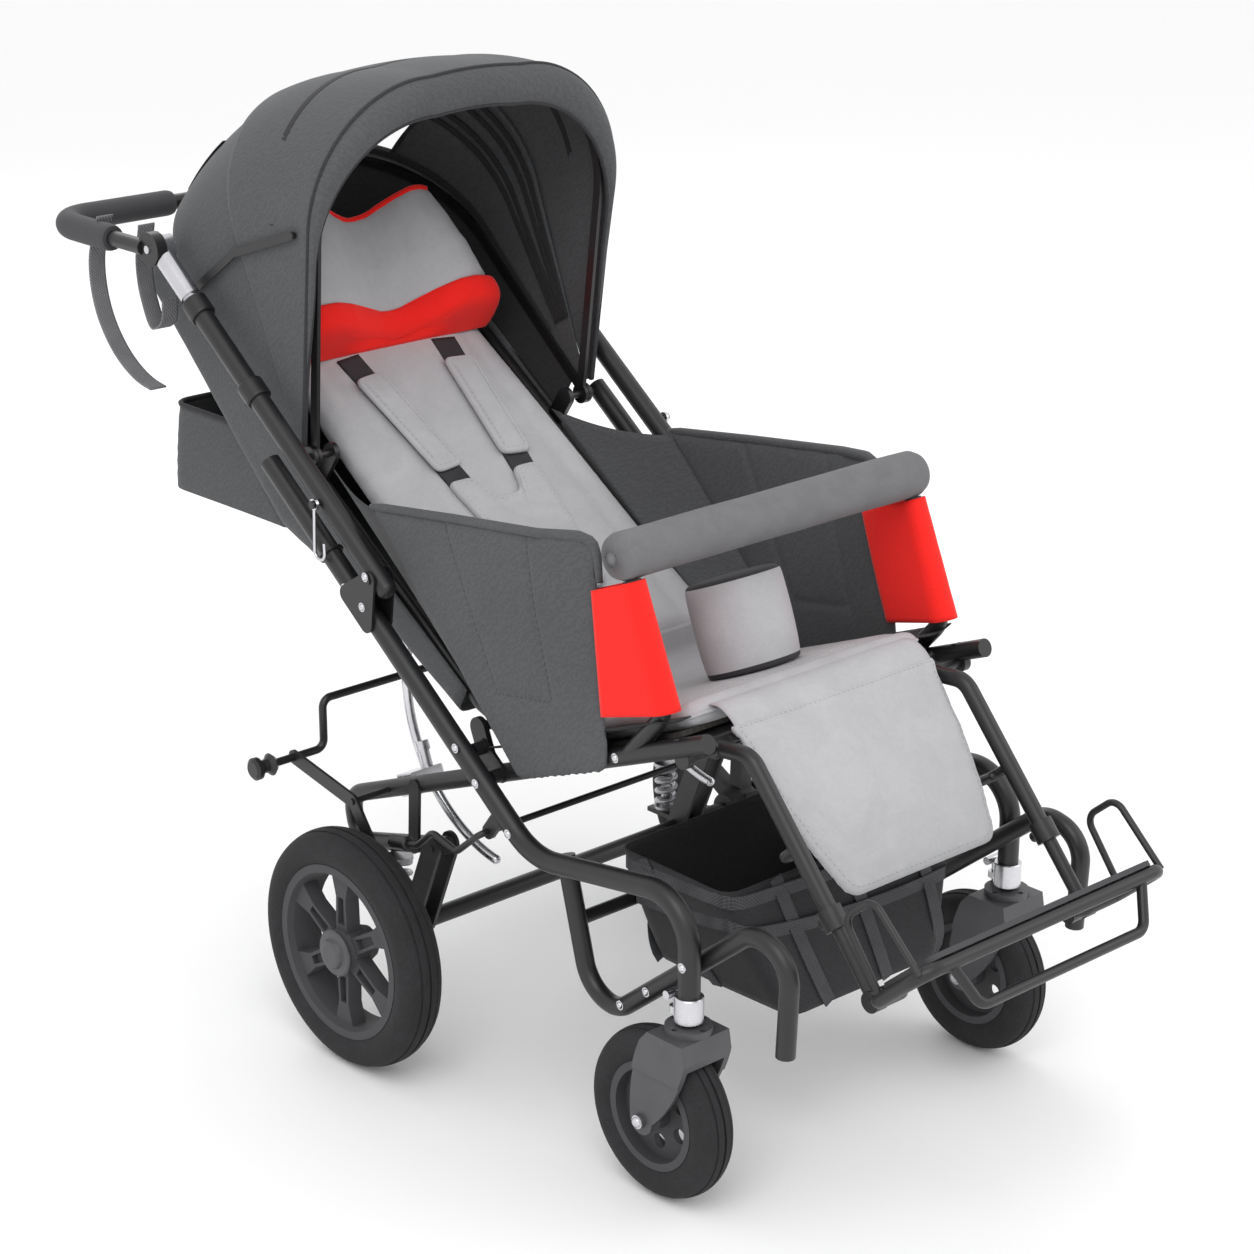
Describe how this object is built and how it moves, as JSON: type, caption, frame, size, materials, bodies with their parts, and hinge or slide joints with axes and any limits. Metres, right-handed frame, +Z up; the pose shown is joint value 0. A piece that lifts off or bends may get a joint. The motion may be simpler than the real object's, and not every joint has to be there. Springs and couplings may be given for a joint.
{
  "type": "special needs stroller",
  "caption": "Reclining special needs stroller with a folding push handle, arched hood, padded seat, swing-away front bar, leg rest with footplate, swivel casters and a basket.",
  "frame": {"origin": "floor level, midway between the sides and between the front-most and rear-most points", "axes": "+Z up, -Y forward (the way the child faces and the stroller is pushed), +X to the child's left"},
  "size_m": [0.715, 1.4865, 1.147],
  "materials": {
    "frame_black": "satin black coated tube",
    "chrome": "polished",
    "spring_steel": "bright",
    "black_plastic": "matte",
    "dark_plastic": "satin",
    "tyre": "matte",
    "grip_foam": "matte",
    "foam_grey": "matte",
    "cloth_dark": "matte",
    "cloth_black": "matte",
    "cloth_light": "matte",
    "cloth_red": "matte",
    "board": "matte"
  },
  "bodies": {
    "chassis": {"main_tube_left": "frame_black", "main_tube_right": "frame_black", "lower_tube_left": "frame_black", "lower_tube_right": "frame_black", "side_frame_left": "frame_black", "side_frame_right": "frame_black", "cross_tubes": "frame_black", "seat_board": "board", "armrest_tubes": "frame_black", "caster_heads": "chrome", "fold_plates": "frame_black", "recline_locks": "chrome", "seat_cushion": "cloth_light", "side_panels": "cloth_dark", "side_gussets": "cloth_red", "basket": "cloth_black"},
    "rear_axle": {"axle_beam": "frame_black", "suspension_springs": "spring_steel"},
    "rear_wheel_left": {"rear_tyre_left": "tyre", "rear_rim_left": "black_plastic", "hub_cap_left": "dark_plastic"},
    "rear_wheel_right": {"rear_tyre_right": "tyre", "rear_rim_right": "black_plastic", "hub_cap_right": "dark_plastic"},
    "caster_left": {"caster_fork_left": "dark_plastic"},
    "caster_right": {"caster_fork_right": "dark_plastic"},
    "caster_wheel_left": {"caster_tyre_left": "tyre", "caster_rim_left": "black_plastic"},
    "caster_wheel_right": {"caster_tyre_right": "tyre", "caster_rim_right": "black_plastic"},
    "swivel_pin_left": {"swivel_lock_left": "chrome"},
    "swivel_pin_right": {"swivel_lock_right": "chrome"},
    "handle_frame": {"handle_tube_left": "frame_black", "handle_tube_right": "frame_black"},
    "hooks": {"lock_hooks": "chrome"},
    "handle_slide": {"handle_slides": "chrome"},
    "push_bar": {"handle_bar": "frame_black", "handle_grips": "grip_foam"},
    "backrest": {"back_frame": "frame_black", "recline_bars": "chrome", "back_pad": "cloth_light", "back_sling": "cloth_dark", "harness": "cloth_light", "hood_rear": "cloth_dark", "pocket": "cloth_dark"},
    "head_support": {"headrest": "cloth_light"},
    "hood": {"hood_front": "cloth_dark", "hood_bow": "frame_black"},
    "stay_back": {"stay_rear": "frame_black"},
    "stay_fore": {"stay_front": "frame_black"},
    "legrest": {"leg_tubes": "frame_black", "leg_pad": "cloth_light"},
    "foot_slide": {"foot_tubes": "frame_black"},
    "foot_support": {"footplate": "black_plastic", "foot_frame": "frame_black"},
    "front_bar": {"bumper_foam": "foam_grey", "bumper_core": "frame_black"},
    "abductor": {"pommel": "cloth_light"},
    "brake": {"brake_bar": "frame_black"},
    "lever": {"lever_rod": "frame_black"}
  },
  "joints": [
    {"name": "rear_suspension", "type": "hinge", "parent": "chassis", "child": "rear_axle", "pos_m": [0, 0.0289, 0.26644], "axis": [1, 0, 0], "range_deg": [-2.5, 2.5], "stiffness_Nm_per_rad": 300, "springref_deg": -0.78, "deforming": ["suspension_springs"]},
    {"name": "rear_wheel_left_spin", "type": "hinge", "parent": "rear_axle", "child": "rear_wheel_left", "pos_m": [0.322, 0.077, 0.148], "axis": [1, 0, 0], "continuous": true},
    {"name": "caster_left_swivel", "type": "hinge", "parent": "chassis", "child": "caster_left", "pos_m": [0.262, -0.44, 0], "axis": [0, 0, 1], "continuous": true},
    {"name": "caster_wheel_left_spin", "type": "hinge", "parent": "caster_left", "child": "caster_wheel_left", "pos_m": [0.262, -0.4, 0.1], "axis": [1, 0, 0], "continuous": true},
    {"name": "swivel_pin_left", "type": "slide", "parent": "chassis", "child": "swivel_pin_left", "axis": [0, 0, 1], "range_m": [-0.007, 0]},
    {"name": "rear_wheel_right_spin", "type": "hinge", "parent": "rear_axle", "child": "rear_wheel_right", "pos_m": [-0.322, 0.077, 0.148], "axis": [1, 0, 0], "continuous": true},
    {"name": "caster_right_swivel", "type": "hinge", "parent": "chassis", "child": "caster_right", "pos_m": [-0.262, -0.44, 0], "axis": [0, 0, 1], "continuous": true},
    {"name": "caster_wheel_right_spin", "type": "hinge", "parent": "caster_right", "child": "caster_wheel_right", "pos_m": [-0.262, -0.4, 0.1], "axis": [1, 0, 0], "continuous": true},
    {"name": "swivel_pin_right", "type": "slide", "parent": "chassis", "child": "swivel_pin_right", "axis": [0, 0, 1], "range_m": [-0.007, 0]},
    {"name": "handle_fold", "type": "hinge", "parent": "chassis", "child": "handle_frame", "pos_m": [0, 0.0864, 0.59762], "axis": [1, 0, 0], "range_deg": [0, 150]},
    {"name": "hook_swing", "type": "hinge", "parent": "handle_frame", "child": "hooks", "pos_m": [0, 0.18064, 0.66863], "axis": [1, 0, 0], "range_deg": [-12, 25]},
    {"name": "handle_height", "type": "slide", "parent": "handle_frame", "child": "handle_slide", "axis": [0, 0.7986, 0.6018], "range_m": [0, 0.09]},
    {"name": "handle_tilt", "type": "hinge", "parent": "handle_slide", "child": "push_bar", "pos_m": [0, 0.50888, 0.91598], "axis": [1, 0, 0], "range_deg": [-40, 40]},
    {"name": "backrest_recline", "type": "hinge", "parent": "chassis", "child": "backrest", "pos_m": [0, -0.045, 0.439], "axis": [1, 0, 0], "range_deg": [0, 38]},
    {"name": "headrest_height", "type": "slide", "parent": "backrest", "child": "head_support", "axis": [0, 0.829, 0.5592], "range_m": [0, 0.06]},
    {"name": "hood_fold", "type": "hinge", "parent": "backrest", "child": "hood", "pos_m": [0, 0.267, 0.695], "axis": [-1, 0, 0], "range_deg": [0, 26]},
    {"name": "stay_rear_turn", "type": "hinge", "parent": "backrest", "child": "stay_back", "pos_m": [0, 0.47595, 0.86121], "axis": [1, 0, 0], "range_deg": [-71.6, 1]},
    {"name": "stay_front_turn", "type": "hinge", "parent": "hood", "child": "stay_fore", "pos_m": [0, 0.25983, 0.96891], "axis": [1, 0, 0], "range_deg": [-1, 58.2]},
    {"name": "legrest_raise", "type": "hinge", "parent": "chassis", "child": "legrest", "pos_m": [0, -0.3876, 0.50393], "axis": [1, 0, 0], "range_deg": [-35, 0]},
    {"name": "footrest_reach", "type": "slide", "parent": "legrest", "child": "foot_slide", "axis": [0, -0.6561, -0.7547], "range_m": [0, 0.08]},
    {"name": "footplate_flip", "type": "hinge", "parent": "foot_slide", "child": "foot_support", "pos_m": [0, -0.6272, 0.28982], "axis": [-1, 0, 0], "range_deg": [0, 50]},
    {"name": "front_bar_swing", "type": "hinge", "parent": "chassis", "child": "front_bar", "pos_m": [0.222, -0.29267, 0.71009], "axis": [0, -0.3702, -0.9289], "range_deg": [-100, 0]},
    {"name": "pommel_slide", "type": "slide", "parent": "chassis", "child": "abductor", "axis": [0, 0.9272, -0.3746], "range_m": [0, 0.05]},
    {"name": "brake_press", "type": "hinge", "parent": "chassis", "child": "brake", "pos_m": [0, 0.11668, 0.31328], "axis": [1, 0, 0], "range_deg": [-12, 0]},
    {"name": "lever_turn", "type": "hinge", "parent": "chassis", "child": "lever", "pos_m": [0, -0.10822, 0.34077], "axis": [1, 0, 0], "range_deg": [-8, 8]}
  ],
  "couplings": [
    {"joint": "stay_rear_turn", "follows": "hood_fold", "ratio": -2.7162},
    {"joint": "stay_front_turn", "follows": "hood_fold", "ratio": 2.2008}
  ]
}
